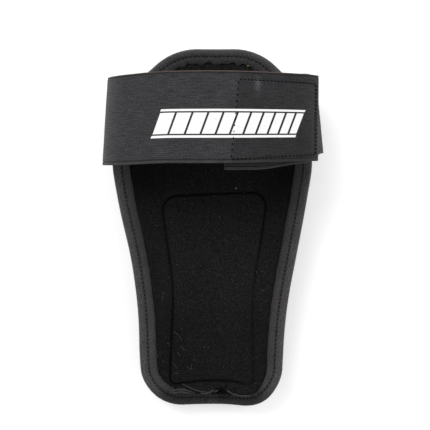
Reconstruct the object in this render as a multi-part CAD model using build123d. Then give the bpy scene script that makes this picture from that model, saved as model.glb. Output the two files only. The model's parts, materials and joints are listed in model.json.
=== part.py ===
"""Strap-on forearm guard: a padded trough with a bound edge and one wide elastic strap.

Millimetres.  The guard lies on its outer face, with its hollow up (+Z), its elbow
end at +Y and its wrist end at -Y.  The origin is under the middle of the guard, on
the surface that it lies on.  Strap and tab close over the hollow in hook and loop.
"""
import os
from math import acos, atan2, cos, degrees, hypot, radians, sin, sqrt

from build123d import *

os.makedirs("parts", exist_ok=True)

# ---- trough: every layer is a shell about one axis that runs along Y ----
LINING_RADIUS = 110.0          # skin side of the trough
LINING_THICK = 1.0
FOAM_THICK = 5.0
COVER_THICK = 1.0
RIB_HEIGHT = 7.2               # impact ribs, outside the base foam
RIB_COVER = 0.8
REST_FLAT_DEPTH = 0.6          # taken off the middle rib, so that it lies flat
CORE_THICK = LINING_THICK + FOAM_THICK
STACK_THICK = CORE_THICK + COVER_THICK
RIB_REACH = CORE_THICK + RIB_HEIGHT + RIB_COVER
AXIS_Z = LINING_RADIUS + RIB_REACH - REST_FLAT_DEPTH
SLAB_TOP = 70.0                # taller than the trough's rim

# ---- plan outline of the bound edge: right half, from the elbow end to the wrist ----
HALF_LENGTH = 130.0
OUTLINE = [(30.0, HALF_LENGTH), (63.5, 96.5), (70.6, 50.0), (52.5, -62.0), (49.5, -HALF_LENGTH)]
OUTLINE_RADII = [42.0, 60.0, 80.0, 400.0, 30.0]

# ---- edge binding ----
TAPE_THICK = 1.2
TAPE_FOLD = 1.5                # tape and turn of cloth outside the core's edge
TAPE_WIDTH = 11.0              # from the outer edge to the tape's inner edge
SEAM_INSET = 5.8
THREAD = 0.7
THREAD_HEIGHT = 0.4

# ---- soft insert under the lining, and the stiff plate outside the foam ----
PANEL = [(37.5, 24.0), (29.5, -46.0), (32.0, -115.0)]
PANEL_RADII = [9.0, 150.0, 5.0]
PANEL_THICK = 2.5
PLATE_THICK = 1.4
PLATE_INSET = 14.0

# ---- impact ribs ----
RIB_ENDS = (-116.0, 42.0)
RIB_HALF_WIDTHS = (36.0, 56.0)  # half the ribbed width at those two ends
RIB_INSET = 12.5
RIB_SHARES = [(-1.0, -0.73), (-0.63, -0.37), (-0.27, 0.27), (0.37, 0.63), (0.73, 1.0)]
QUILT_SHARES = [-0.68, -0.32, 0.32, 0.68]

# ---- elastic strap ----
STRAP_WIDTH = 60.0
STRAP_MIDDLE = 78.0            # its place along Y
STRAP_THICK = 1.6
STRAP_LOW = STRAP_MIDDLE - STRAP_WIDTH / 2
STRAP_HIGH = STRAP_MIDDLE + STRAP_WIDTH / 2
BACK_RADIUS = LINING_RADIUS + STACK_THICK + TAPE_THICK + THREAD_HEIGHT + STRAP_THICK
LOOP_HALF_WIDTH = 76.0
ARCH_TOP = 80.0
ARCH_SPRING = 40.0             # height where the arch starts to lean in
STRAP_END_LIFT = 7.5           # degrees from the tab's straight run up to the strap's end
ARCH_SIDE_RADIUS = 30.0
LEFT_TURN_RADIUS = 13.0
RIGHT_TURN_RADIUS = 8.0
HOOK_START_X = 13.0            # where the hook end starts to lift off
TAB_END_X = 8.0
HINGE_GAP = 0.15               # each side of a hinge line

# ---- hook and loop ----
HOOK_THICK = 1.0
LOOP_THICK = 1.2
FACE_GAP = 0.3
TAB_DEPTH = STRAP_THICK + HOOK_THICK + FACE_GAP + LOOP_THICK
PATCH_MARGIN = 3.0
REINFORCEMENT_MARGIN = 2.0
BOX_STITCH_ANGLES = (16.0, 27.0)


# ---------------------------------------------------------------- plan shapes
def half_outline(points, radii):
    """A face that is symmetric about Y, from the corners of its right half."""
    corners = points + [(-x, y) for x, y in reversed(points)]
    return make_face(FilletPolyline(*corners, radius=radii + radii[::-1], close=True))


def inset(face, distance):
    return offset(face, -distance, kind=Kind.INTERSECTION)


def prism(face, low=-5.0, high=SLAB_TOP):
    return extrude(Pos(0, 0, low) * face, high - low)


def shell(inner, outer):
    """The layer between two depths below the lining's skin side."""
    length = 4 * HALF_LENGTH
    rod = Pos(0, 0, AXIS_Z) * Rot(90, 0, 0) * Cylinder(LINING_RADIUS + outer, length)
    bore = Pos(0, 0, AXIS_Z) * Rot(90, 0, 0) * Cylinder(LINING_RADIUS + inner, length)
    return rod - bore


def layer(face, inner, outer):
    return shell(inner, outer) & prism(face)


edge_outline = half_outline(OUTLINE, OUTLINE_RADII)
core_outline = inset(edge_outline, TAPE_FOLD)
panel_outline = half_outline(PANEL, PANEL_RADII)


# ---------------------------------------------------------------- the pad
def rib_outline(low_share, high_share, grow=0.0):
    wrist, elbow = RIB_ENDS
    narrow, wide = RIB_HALF_WIDTHS
    corners = [
        (low_share * narrow - grow, wrist - grow),
        (high_share * narrow + grow, wrist - grow),
        (high_share * wide + grow, elbow + grow),
        (low_share * wide - grow, elbow + grow),
    ]
    field = inset(edge_outline, RIB_INSET - grow)
    return field & make_face(Polyline(*corners, close=True))


def above(height):
    size = 4 * HALF_LENGTH
    return Pos(0, 0, height + size / 2) * Box(size, size, size)


def make_ribs():
    foam_low, foam_high = CORE_THICK, CORE_THICK + RIB_HEIGHT
    return [
        layer(rib_outline(*shares), foam_low, foam_high) & above(RIB_COVER)
        for shares in RIB_SHARES
    ]


def make_cover(ribs):
    cover = layer(core_outline, CORE_THICK, STACK_THICK)
    for shares in RIB_SHARES:
        cover += layer(rib_outline(*shares, grow=RIB_COVER), CORE_THICK, RIB_REACH) & above(0)
    for rib in ribs:
        cover -= rib
    return cover


def make_binding():
    wrap = layer(edge_outline, -TAPE_THICK, STACK_THICK + TAPE_THICK)
    wrap -= layer(core_outline, 0, STACK_THICK)
    return wrap - prism(inset(edge_outline, TAPE_WIDTH))


def make_seam(inner, outer):
    seam = inset(edge_outline, SEAM_INSET) - inset(edge_outline, SEAM_INSET + THREAD)
    return layer(seam, inner, outer)


def make_quilting():
    """One line of stitches in each valley between two ribs."""
    wrist, elbow = RIB_ENDS
    narrow, wide = RIB_HALF_WIDTHS
    field = inset(edge_outline, RIB_INSET)
    lines = []
    for share in QUILT_SHARES:
        run = make_face(Polyline(
            (share * narrow - THREAD / 2, wrist), (share * narrow + THREAD / 2, wrist),
            (share * wide + THREAD / 2, elbow), (share * wide - THREAD / 2, elbow), close=True))
        lines.append(layer(field & run, STACK_THICK, STACK_THICK + THREAD_HEIGHT))
    return lines


def make_reinforcement():
    band_low = STRAP_LOW - REINFORCEMENT_MARGIN
    band_high = STRAP_HIGH + REINFORCEMENT_MARGIN
    zone = Pos(0, (band_low + band_high) / 2) * Rectangle(4 * HALF_LENGTH, band_high - band_low)
    field = inset(edge_outline, TAPE_WIDTH) & zone
    return layer(field, STACK_THICK, STACK_THICK + TAPE_THICK + THREAD_HEIGHT)


# ---------------------------------------------------------------- the strap loop
# The loop is a path in the X-Z plane of arcs that all bend the same way, so a layer
# of it is the same path with its radii changed.  Angles are in degrees from +X.
def arc(centre, radius, start, end):
    return lambda depth: CenterArc(centre, radius - depth, start, end - start)


def run(start, end, outward):
    def edge(depth):
        shift = Vector(*outward) * depth
        return Line(Vector(*start) - shift, Vector(*end) - shift)
    return edge


def band(path, outer, inner, low=STRAP_LOW, high=STRAP_HIGH):
    """Solid between two depths inside the loop's outer face, from low to high along Y."""
    outer_edges = [step(outer) for step in path]
    inner_edges = [step(inner) for step in path]
    ends = [
        Line(outer_edges[0] @ 0, inner_edges[0] @ 0),
        Line(outer_edges[-1] @ 1, inner_edges[-1] @ 1),
    ]
    section = Plane(origin=(0, high, 0), x_dir=(1, 0, 0), z_dir=(0, -1, 0))
    return extrude(section * make_face(outer_edges + inner_edges + ends), high - low)


def turn_centre(radius):
    """Centre of the arc that leads from the strap's back run up to the loop's side."""
    x = LOOP_HALF_WIDTH - radius
    return x, AXIS_Z - sqrt((BACK_RADIUS - radius) ** 2 - x ** 2)


side_x = LOOP_HALF_WIDTH - ARCH_SIDE_RADIUS
rise = ARCH_TOP - ARCH_SPRING
crown_radius = (side_x ** 2 + rise ** 2 - ARCH_SIDE_RADIUS ** 2) / (2 * (rise - ARCH_SIDE_RADIUS))
crown = (0.0, ARCH_TOP - crown_radius)
crown_angle = degrees(atan2(ARCH_SPRING - crown[1], side_x))
left_turn_x, left_turn_z = turn_centre(LEFT_TURN_RADIUS)
right_turn_x, right_turn_z = turn_centre(RIGHT_TURN_RADIUS)
left_back_angle = 360 + degrees(atan2(left_turn_z - AXIS_Z, -left_turn_x))
right_back_angle = 360 + degrees(atan2(right_turn_z - AXIS_Z, right_turn_x))
left_hinge_z = (left_turn_z + ARCH_SPRING) / 2
hook_angle = degrees(acos(HOOK_START_X / crown_radius))
hook_gap = degrees(HINGE_GAP / crown_radius)
tab_gap = degrees(HINGE_GAP / RIGHT_TURN_RADIUS)

# The tab leaves the right turn along a straight run that is tangent to its own arch.
tab_side_radius = ARCH_SIDE_RADIUS - TAB_DEPTH
tab_run_x = right_turn_x - side_x
tab_run_z = ARCH_SPRING - right_turn_z
tab_lean = degrees(
    acos((tab_side_radius - RIGHT_TURN_RADIUS) / hypot(tab_run_x, tab_run_z))
    - atan2(tab_run_z, tab_run_x))
strap_end_angle = tab_lean + STRAP_END_LIFT

back_path = [
    run((-LOOP_HALF_WIDTH, left_hinge_z - HINGE_GAP), (-LOOP_HALF_WIDTH, left_turn_z), (-1, 0)),
    arc((-left_turn_x, left_turn_z), LEFT_TURN_RADIUS, 180, left_back_angle),
    arc((0, AXIS_Z), BACK_RADIUS, left_back_angle, right_back_angle),
    arc((right_turn_x, right_turn_z), RIGHT_TURN_RADIUS, right_back_angle, 360 - tab_gap),
]
front_path = [
    run((-LOOP_HALF_WIDTH, left_hinge_z + HINGE_GAP), (-LOOP_HALF_WIDTH, ARCH_SPRING), (-1, 0)),
    arc((-side_x, ARCH_SPRING), ARCH_SIDE_RADIUS, 180, 180 - crown_angle),
    arc(crown, crown_radius, 180 - crown_angle, hook_angle + hook_gap),
]


def hook_path(start_x, end_angle):
    start = degrees(acos(start_x / crown_radius))
    return [
        arc(crown, crown_radius, start, crown_angle),
        arc((side_x, ARCH_SPRING), ARCH_SIDE_RADIUS, crown_angle, end_angle),
    ]


def tab_arch(start_angle, end_x):
    end = degrees(acos(end_x / (crown_radius - TAB_DEPTH)))
    return [
        arc((side_x, ARCH_SPRING), tab_side_radius, start_angle, crown_angle),
        arc(crown, crown_radius - TAB_DEPTH, crown_angle, end),
    ]


def on_circle(centre, radius, angle):
    return centre[0] + radius * cos(radians(angle)), centre[1] + radius * sin(radians(angle))


tab_path = [
    arc((right_turn_x, right_turn_z), RIGHT_TURN_RADIUS, tab_gap, tab_lean),
    run(on_circle((right_turn_x, right_turn_z), RIGHT_TURN_RADIUS, tab_lean),
        on_circle((side_x, ARCH_SPRING), tab_side_radius, tab_lean),
        (cos(radians(tab_lean)), sin(radians(tab_lean)))),
    *tab_arch(tab_lean, TAB_END_X),
]


def stitched_box(long_path, cross_paths, outer, inner, margin):
    """Thread round a patch: two rows along the strap and one row across each end."""
    low, high = STRAP_LOW + margin, STRAP_HIGH - margin
    thread = band(long_path, outer, inner, low, low + THREAD)
    thread += band(long_path, outer, inner, high - THREAD, high)
    for path in cross_paths:
        thread += band(path, outer, inner, low, high)
    return thread


def make_hook_thread():
    first_x = HOOK_START_X + PATCH_MARGIN + 1
    last = strap_end_angle + 8
    step = degrees(THREAD / ARCH_SIDE_RADIUS)
    start = degrees(acos(first_x / crown_radius))
    row = degrees(THREAD / crown_radius)
    ends = [
        [arc(crown, crown_radius, start, start - row)],
        [arc((side_x, ARCH_SPRING), ARCH_SIDE_RADIUS, last + step, last)],
    ]
    return stitched_box(hook_path(first_x, last), ends, -THREAD_HEIGHT, 0, PATCH_MARGIN + 1)


def make_loop_thread():
    """The tab's thread shows on its inner face, under the patch."""
    depth = STRAP_THICK
    first, last_x = tab_lean + 6, TAB_END_X + PATCH_MARGIN
    last = degrees(acos(last_x / (crown_radius - TAB_DEPTH)))
    ends = [
        [arc((side_x, ARCH_SPRING), tab_side_radius, first,
             first + degrees(THREAD / tab_side_radius))],
        [arc(crown, crown_radius - TAB_DEPTH, last - degrees(THREAD / crown_radius), last)],
    ]
    return stitched_box(tab_arch(first, last_x), ends, depth, depth + THREAD_HEIGHT, PATCH_MARGIN + 1)


def make_box_stitch(side):
    """A sewn box that holds the strap's back run to the pad, on one side of the middle."""
    near, far = BOX_STITCH_ANGLES
    row = degrees(THREAD / BACK_RADIUS)
    angles = sorted([270 + side * near, 270 + side * far])
    centre = (0, AXIS_Z)
    long_path = [arc(centre, BACK_RADIUS, *angles)]
    ends = [
        [arc(centre, BACK_RADIUS, angles[0], angles[0] + row)],
        [arc(centre, BACK_RADIUS, angles[1] - row, angles[1])],
    ]
    return stitched_box(long_path, ends, -THREAD_HEIGHT, 0, PATCH_MARGIN)


# ---------------------------------------------------------------- all the pieces
panel_low, panel_high = LINING_THICK, LINING_THICK + PANEL_THICK
plate_low, plate_high = CORE_THICK - PLATE_THICK, CORE_THICK
plate_outline = inset(edge_outline, PLATE_INSET)

comfort_pad = layer(panel_outline, panel_low, panel_high)
shell_plate = layer(plate_outline, plate_low, plate_high)
base_foam = layer(core_outline, LINING_THICK, CORE_THICK) - comfort_pad - shell_plate
ribs = make_ribs()

nodes = {
    "lining": layer(core_outline, 0, LINING_THICK),
    "comfort_pad": comfort_pad,
    "base_foam": base_foam,
    "shell_plate": shell_plate,
    "outer_cover": make_cover(ribs),
    "edge_binding": make_binding(),
    "binding_needle_thread": make_seam(-TAPE_THICK - THREAD_HEIGHT, -TAPE_THICK),
    "binding_bobbin_thread": make_seam(STACK_THICK + TAPE_THICK,
                                       STACK_THICK + TAPE_THICK + THREAD_HEIGHT),
    "rib_quilting_thread": make_quilting(),
    "strap_reinforcement": make_reinforcement(),
    "strap_back": band(back_path, 0, STRAP_THICK),
    "strap_box_stitch_left": make_box_stitch(-1),
    "strap_box_stitch_right": make_box_stitch(1),
    "strap_front": band(front_path, 0, STRAP_THICK),
    "strap_hook_end": band(hook_path(HOOK_START_X + HINGE_GAP, strap_end_angle), 0, STRAP_THICK),
    "hook_patch": band(hook_path(HOOK_START_X + PATCH_MARGIN, strap_end_angle + 4),
                       STRAP_THICK, STRAP_THICK + HOOK_THICK,
                       STRAP_LOW + PATCH_MARGIN, STRAP_HIGH - PATCH_MARGIN),
    "hook_patch_thread": make_hook_thread(),
    "strap_loop_tab": band(tab_path, 0, STRAP_THICK),
    "loop_patch": band(tab_arch(tab_lean + 2, TAB_END_X + 1), -LOOP_THICK, 0,
                       STRAP_LOW + PATCH_MARGIN, STRAP_HIGH - PATCH_MARGIN),
    "loop_patch_thread": make_loop_thread(),
}
for number, rib in enumerate(ribs, start=1):
    nodes[f"rib_foam_{number}"] = rib

for name, shape in nodes.items():
    solids = shape if isinstance(shape, list) else shape.solids()
    body = Compound(children=[solid for piece in solids for solid in piece.solids()])
    body.label = name
    export_step(body, f"parts/{name}.step")

print("hinge of the strap     ", (-LOOP_HALF_WIDTH, left_hinge_z))
print("hinge of the hook end  ", on_circle(crown, crown_radius, hook_angle))
print("hinge of the loop tab  ", (LOOP_HALF_WIDTH, right_turn_z))
print("lean of the tab's run  ", tab_lean)
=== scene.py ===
import json
import math

import bmesh
import bpy
import numpy as np
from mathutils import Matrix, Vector


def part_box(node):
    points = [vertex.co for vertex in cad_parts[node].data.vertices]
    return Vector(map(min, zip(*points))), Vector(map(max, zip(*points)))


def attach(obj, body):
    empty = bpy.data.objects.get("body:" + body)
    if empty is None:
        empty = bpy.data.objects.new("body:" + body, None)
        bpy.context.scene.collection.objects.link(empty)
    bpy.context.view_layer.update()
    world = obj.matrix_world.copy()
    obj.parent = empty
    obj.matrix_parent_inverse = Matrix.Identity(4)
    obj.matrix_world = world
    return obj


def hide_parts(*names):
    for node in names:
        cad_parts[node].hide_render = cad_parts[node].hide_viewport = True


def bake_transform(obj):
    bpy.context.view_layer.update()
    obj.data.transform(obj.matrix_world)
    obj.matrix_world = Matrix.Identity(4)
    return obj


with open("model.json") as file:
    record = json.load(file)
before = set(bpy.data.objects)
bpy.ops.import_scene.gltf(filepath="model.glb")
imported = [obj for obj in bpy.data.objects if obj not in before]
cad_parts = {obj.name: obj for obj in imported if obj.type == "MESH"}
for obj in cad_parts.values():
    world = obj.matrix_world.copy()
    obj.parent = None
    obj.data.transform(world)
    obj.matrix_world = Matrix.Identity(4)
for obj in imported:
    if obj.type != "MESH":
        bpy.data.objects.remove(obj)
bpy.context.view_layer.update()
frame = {"nodes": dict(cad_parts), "record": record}

# A forearm guard with an elastic strap, lying on its outer face.  Lengths are in millimetres
# until a mesh is made.  +Y is the elbow end, and +Z comes out of the hollow of the trough.
MM = 0.001
random = np.random.default_rng(7)


def low(node):
    return np.array(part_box(node)[0]) / MM


def high(node):
    return np.array(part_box(node)[1]) / MM


# ---- the trough, as the frame has it ----
LINING_RADIUS = 110.0
LINING_THICK = 1.0
COVER_INSIDE = 6.0             # depths below the lining's skin side
COVER_OUTSIDE = 7.0
RIB_DEPTH = 15.0
AXIS_Z = low("lining")[2] + LINING_RADIUS + LINING_THICK
HALF_LENGTH = high("edge_binding")[1]
OUTLINE = [(30.0, HALF_LENGTH), (63.5, 96.5), (70.6, 50.0), (52.5, -62.0), (49.5, -HALF_LENGTH)]
OUTLINE_RADII = [42.0, 60.0, 80.0, 400.0, 30.0]
PANEL = [(38.0, 25.0), (29.5, -46.0), (32.0, -115.5)]
PANEL_RADII = [10.0, 150.0, 5.0]
SEAM_INSET = 5.9

# ---- the strap loop, as the frame has it ----
STRAP_LOW, STRAP_HIGH = low("strap_front")[1], high("strap_front")[1]
STRAP_MIDDLE = (STRAP_LOW + STRAP_HIGH) / 2
STRAP_THICK = 1.6
LOOP_HALF_WIDTH = high("strap_loop_tab")[0]
ARCH_TOP = high("strap_front")[2]
ARCH_SPRING = 40.0
ARCH_SIDE_RADIUS = 30.0
LEFT_TURN_RADIUS = 13.0
RIGHT_TURN_RADIUS = 8.0
BACK_RADIUS = AXIS_Z - low("strap_back")[2]
HOOK_THICK = 1.0
LOOP_THICK = 1.2
TAB_DEPTH = 4.1
TAB_END_X = low("strap_loop_tab")[0]
HINGE = {joint["name"]: np.array(joint["pos_m"]) / MM for joint in frame["record"]["behaviour"]["joints"]}

STITCH_PITCH = 3.0
SHARP_ANGLE = 66.0
RIB_PITCH = 1.25               # woven ribs of the elastic


# ---------------- numbers
def smooth(value, start, end):
    """0 before start, 1 after end, and a smooth step between them."""
    t = np.clip((np.asarray(value, float) - start) / (end - start), 0, 1)
    return t * t * (3 - 2 * t)


def bump(value, centre, width):
    """1 at the centre, falling away smoothly over the width."""
    return np.exp(-((np.asarray(value, float) - centre) / width) ** 2)


def waves(position, sizes, seed):
    """A smooth seeded wander along one coordinate, about -1 to 1."""
    draw = np.random.default_rng(seed)
    total = sum(np.sin(2 * np.pi * position / size + draw.uniform(0, 6.28)) for size in sizes)
    return total / len(sizes)


def wander(x, y, sizes, seed):
    """The same over a surface."""
    draw = np.random.default_rng(seed)
    total = 0
    for size in sizes:
        turn = draw.uniform(0, 6.28)
        along = 2 * np.pi * (x * math.cos(turn) + y * math.sin(turn)) / size
        across = 2 * np.pi * (y * math.cos(turn) - x * math.sin(turn)) / (1.7 * size)
        total = total + np.sin(along + draw.uniform(0, 6.28)) * np.cos(across + draw.uniform(0, 6.28))
    return total / len(sizes)


def cubic(a, b, c, d, t):
    """From b to c as t goes from 0 to 1, smoothly past a and d."""
    squared, cubed = 2 * a - 5 * b + 4 * c - d, 3 * b - a - 3 * c + d
    return 0.5 * (2 * b + (c - a) * t + squared * t ** 2 + cubed * t ** 3)


def closed_curve(points, steps):
    """A smooth closed curve through the points."""
    p = np.array(points)
    t = np.linspace(0, 1, steps, endpoint=False)[:, None]
    return np.vstack([cubic(*np.roll(p, 1 - i, axis=0)[:4], t) for i in range(len(p))])


def distances(points):
    """How far along its line each point is."""
    return np.concatenate([[0], np.cumsum(np.linalg.norm(np.diff(points, axis=0), axis=1))])


def nearest(x, y, line):
    """Distance from each place to the nearest of a line's points."""
    flat = np.column_stack([x.ravel(), y.ravel()])
    parts = np.array_split(flat, 1 + len(flat) // 4000)
    gaps = [np.linalg.norm(part[:, None] - line, axis=2).min(axis=1) for part in parts]
    return np.concatenate(gaps).reshape(x.shape)


# ---------------- plan shapes
def rounded(half_points, radii, spacing):
    """A closed outline with round corners, symmetric about Y, as evenly spaced points.
    It starts at the middle of the wrist end and goes towards -X."""
    corners = np.array(half_points + [(-x, y) for x, y in reversed(half_points)])
    line = []
    for i, (corner, radius) in enumerate(zip(corners, radii + radii[::-1])):
        before, after = corners[i - 1] - corner, corners[(i + 1) % len(corners)] - corner
        before, after = before / np.linalg.norm(before), after / np.linalg.norm(after)
        half = math.acos(before @ after) / 2
        middle = (before + after) / np.linalg.norm(before + after)
        centre = corner + middle * radius / math.sin(half)
        start, end = (corner + way * radius / math.tan(half) - centre for way in (before, after))
        turn = math.atan2(start[0] * end[1] - start[1] * end[0], start @ end)
        t = np.linspace(0, turn, 24)[:, None]
        line.append(centre + start * np.cos(t) + np.array([-start[1], start[0]]) * np.sin(t))
    line = np.vstack(line[len(half_points):] + line[:len(half_points)])
    wrist_end = [0, line[0][1]]
    line = np.vstack([wrist_end, line, wrist_end])
    length = distances(line)
    even = np.linspace(0, length[-1], int(length[-1] / spacing), endpoint=False)
    return np.column_stack([np.interp(even, length, line[:, k]) for k in (0, 1)])


def uneven(x, y):
    """How the sewn pad strays from its pattern: the left side is straighter, then fuller, the
    elbow end is pulled to the right, and the wrist end's right corner is fuller."""
    left = smooth(-x, 15, 60) * (1.5 * bump(y, -19, 27) - 1.7 * bump(y, -93, 26) - 0.6)
    along = 1.1 * smooth(-y, 112, 129) + 1.6 * smooth(x, 5, 42) * smooth(-y, 108, 128)
    return left + 2.0 * smooth(y, 92, 118) + 0.012 * x * bump(y, 10, 42), -along


def inward(line):
    """Unit normals of a closed outline, pointing to its inside."""
    tangent = np.roll(line, -1, axis=0) - np.roll(line, 1, axis=0)
    tangent /= np.linalg.norm(tangent, axis=1)[:, None]
    normal = np.column_stack([-tangent[:, 1], tangent[:, 0]])
    facing = np.sum(normal * (line.mean(axis=0) - line), axis=1)
    return normal * np.sign(np.median(facing))


EDGE_STEP = 0.55               # between the points along the bound edge
edge_line = rounded(OUTLINE, OUTLINE_RADII, EDGE_STEP)
edge_inward = inward(edge_line)
edge_length = np.arange(len(edge_line)) * EDGE_STEP


def half_width(y, inset):
    """Half the outline's width at y, that far inside the edge."""
    line = edge_line + edge_inward * inset
    side = line[line[:, 0] > 0]
    side = side[np.argsort(side[:, 1])]
    tips = np.where(np.diff(side[:, 1]) > 1e-4)[0]
    side = side[tips[0]:tips[-1] + 2]
    return np.interp(y, side[:, 1], side[:, 0])


def drop(x, depth):
    """Height of the trough's layer at that depth below the skin side."""
    return AXIS_Z - np.sqrt((LINING_RADIUS + depth) ** 2 - x ** 2)


# ---------------- meshes
PAD_SKINS = ("lined_pad", "ribbed_cover", "edge_tape", "binding_needle_stitches", "binding_bobbin_stitches")


def add_mesh(name, vertices, faces, material, uv=None, **marks):
    """A mesh piece.  Each mark is a number at every vertex that its material reads."""
    mesh = bpy.data.meshes.new(name)
    vertices = np.array(vertices)
    if name in PAD_SKINS:
        vertices[:, :2] += np.column_stack(uneven(vertices[:, 0], vertices[:, 1]))
    mesh.from_pydata((vertices * MM).tolist(), [], faces)
    if uv is not None:
        index = np.empty(len(mesh.loops), int)
        mesh.loops.foreach_get("vertex_index", index)
        mesh.uv_layers.new(name="cloth").data.foreach_set("uv", (uv * MM)[index].astype(np.float32).ravel())
    for mark, values in marks.items():
        attribute = mesh.attributes.new(mark, "FLOAT", "POINT")
        attribute.data.foreach_set("value", np.ravel(values).astype(np.float32))
    work = bmesh.new()
    work.from_mesh(mesh)
    bmesh.ops.recalc_face_normals(work, faces=work.faces)
    work.to_mesh(mesh)
    work.free()
    mesh.polygons.foreach_set("use_smooth", [True] * len(mesh.polygons))
    mesh.set_sharp_from_angle(angle=math.radians(SHARP_ANGLE))
    mesh.materials.append(material)
    piece = bpy.data.objects.new(name, mesh)
    bpy.context.scene.collection.objects.link(piece)
    return piece


def quads(rows, columns, first=0, wrap_rows=False, wrap_columns=False):
    """Faces of a grid of vertices, numbered from first, row after row."""
    r = np.arange(rows if wrap_rows else rows - 1)
    c = np.arange(columns if wrap_columns else columns - 1)
    r, c = np.meshgrid(r, c, indexing="ij")
    r1, c1 = (r + 1) % rows, (c + 1) % columns
    corners = np.stack([r * columns + c, r * columns + c1, r1 * columns + c1, r1 * columns + c], axis=-1)
    return (corners.reshape(-1, 4) + first).tolist()


def tube_faces(rings, sides, first=0):
    """A closed tube of rings of vertices, with a face over each end."""
    last = first + (rings - 1) * sides
    ends = [list(range(first, first + sides)), list(range(last + sides - 1, last - 1, -1))]
    return quads(rings, sides, first, wrap_columns=True) + ends


def grid_rim(rows, columns):
    """Indices round the edge of a grid, in order."""
    index = np.arange(rows * columns).reshape(rows, columns)
    return np.concatenate([index[0, :-1], index[:-1, -1], index[-1, :0:-1], index[:0:-1, 0]])


def slab_faces(rows, columns, first=0):
    """Faces of two grids, one after the other, and of the walls between their rims."""
    count = rows * columns
    rim = grid_rim(rows, columns) + first
    ahead = np.roll(rim, -1)
    walls = np.column_stack([rim, ahead, ahead + count, rim + count]).tolist()
    return quads(rows, columns, first) + [face[::-1] for face in quads(rows, columns, first + count)] + walls


def slab(name, top, bottom, material, uv=None, **marks):
    """A closed piece between two grids of points of the same shape."""
    vertices = np.vstack([top.reshape(-1, 3), bottom.reshape(-1, 3)])
    if uv is not None:
        uv = np.vstack([uv.reshape(-1, 2)] * 2)
    marks = {mark: np.concatenate([np.ravel(values)] * 2) for mark, values in marks.items()}
    return add_mesh(name, vertices, slab_faces(*top.shape[:2]), material, uv, **marks)


def backed(name, front, depth, material, **marks):
    """A closed piece: a fine front grid, and a plain hidden back of rings that close on the middle."""
    def back_at(flat):
        return np.column_stack([flat, drop(flat[:, 0], depth)])

    rows, columns, _ = front.shape
    front = front.reshape(-1, 3)
    rim = grid_rim(rows, columns)
    shares = np.linspace(1, 0, 8)[:-1]
    rings = [back_at(front[rim, :2] * share) for share in shares]
    vertices = np.vstack([front, *rings, back_at(np.zeros((1, 2)))])
    starts = [rim] + [len(front) + k * len(rim) + np.arange(len(rim)) for k in range(len(rings))]
    faces = quads(rows, columns)
    for near, far in zip(starts, starts[1:]):
        faces += np.column_stack([near, np.roll(near, -1), np.roll(far, -1), far]).tolist()
    middle = np.full(len(rim), len(vertices) - 1)
    faces += np.column_stack([starts[-1], np.roll(starts[-1], -1), middle]).tolist()
    padding = np.ones(len(vertices) - len(front))
    marks = {mark: np.concatenate([np.ravel(values), padding]) for mark, values in marks.items()}
    return add_mesh(name, vertices, faces, material, None, **marks)


def ring(centre, radius, one, other, sides):
    """Vertices round a centre, in the plane of two unit directions."""
    angles = np.linspace(0, 2 * np.pi, sides, endpoint=False)
    return [centre + radius * (math.cos(a) * one + math.sin(a) * other) for a in angles]


STITCH_LENGTH = 1.9
STITCH_RISE = np.array([-0.35, 0.05, 0.16, 0.05, -0.35])             # along one stitch
STITCH_GIRTH = np.array([0.45, 0.95, 1.0, 0.95, 0.45]) * 0.42


def stitch_row(line, up, closed=False, pitch=STITCH_PITCH, seed=1):
    """Vertices and faces of separate stitches laid along a line of points."""
    draw = np.random.default_rng(seed)
    if closed:
        line, up = np.vstack([line, line[:1]]), np.vstack([up, up[:1]])
    along = distances(line)
    count = int(along[-1] / pitch)
    length = min(STITCH_LENGTH, 0.6 * pitch)
    vertices, faces = [], []
    for k in range(count):
        start = (k + 0.5) * along[-1] / count - length / 2 + draw.normal(0, 0.08)
        at = start + np.linspace(0, 1, 5) * length * draw.uniform(0.93, 1.05)
        middle = np.column_stack([np.interp(at, along, line[:, i]) for i in range(3)])
        normal = np.column_stack([np.interp(at, along, up[:, i]) for i in range(3)])
        normal /= np.linalg.norm(normal, axis=1)[:, None]
        tangent = middle[-1] - middle[0]
        tangent /= np.linalg.norm(tangent)
        side = np.cross(tangent, normal)
        sway = np.linspace(-1, 1, 5)[:, None] * draw.normal(0.06, 0.04)
        middle = middle + normal * STITCH_RISE[:, None] + side * sway
        faces += tube_faces(5, 6, len(vertices))
        for centre, n, s, g in zip(middle, normal, side, STITCH_GIRTH):
            vertices += ring(centre, g, n, s, 6)
    return vertices, faces


def stitches(name, rows, material):
    """One piece from several rows of stitches."""
    vertices, faces = [], []
    for row_vertices, row_faces in rows:
        first = len(vertices)
        vertices.extend(row_vertices)
        faces.extend([[i + first for i in face] for face in row_faces])
    return add_mesh(name, vertices, faces, material)


def settle(piece, slot, *nodes, body="pad", fold=None):
    """Put a piece on its body, or leave it unparented where it lies across the fold between two, and hide the
    parts it stands for; slot is not used.
    """
    if fold:
        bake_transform(piece)
    else:
        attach(piece, body)
    if nodes:
        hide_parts(*nodes)


# ---------------- cloth
def resample(grid, rows, columns):
    """A grid of points made finer, smoothly, along both its ways."""
    for axis, count in ((0, rows), (1, columns)):
        grid = np.moveaxis(grid, axis, 0)
        last = len(grid) - 1
        place = np.linspace(0, last, count)
        cell = np.minimum(place.astype(int), last - 1)
        t = (place - cell)[:, None, None]
        a, b, c, d = (grid[np.clip(cell + k, 0, last)] for k in (-1, 0, 1, 2))
        grid = np.moveaxis(cubic(a, b, c, d, t), 0, axis)
    return grid


CLOTH = {"quality": 6, "mass": 0.12, "tension_stiffness": 12, "compression_stiffness": 8,
         "shear_stiffness": 4, "bending_stiffness": 0.2, "use_pressure": True, "vertex_group_mass": "sewn"}
CLOTH_FRAMES = 14


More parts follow.
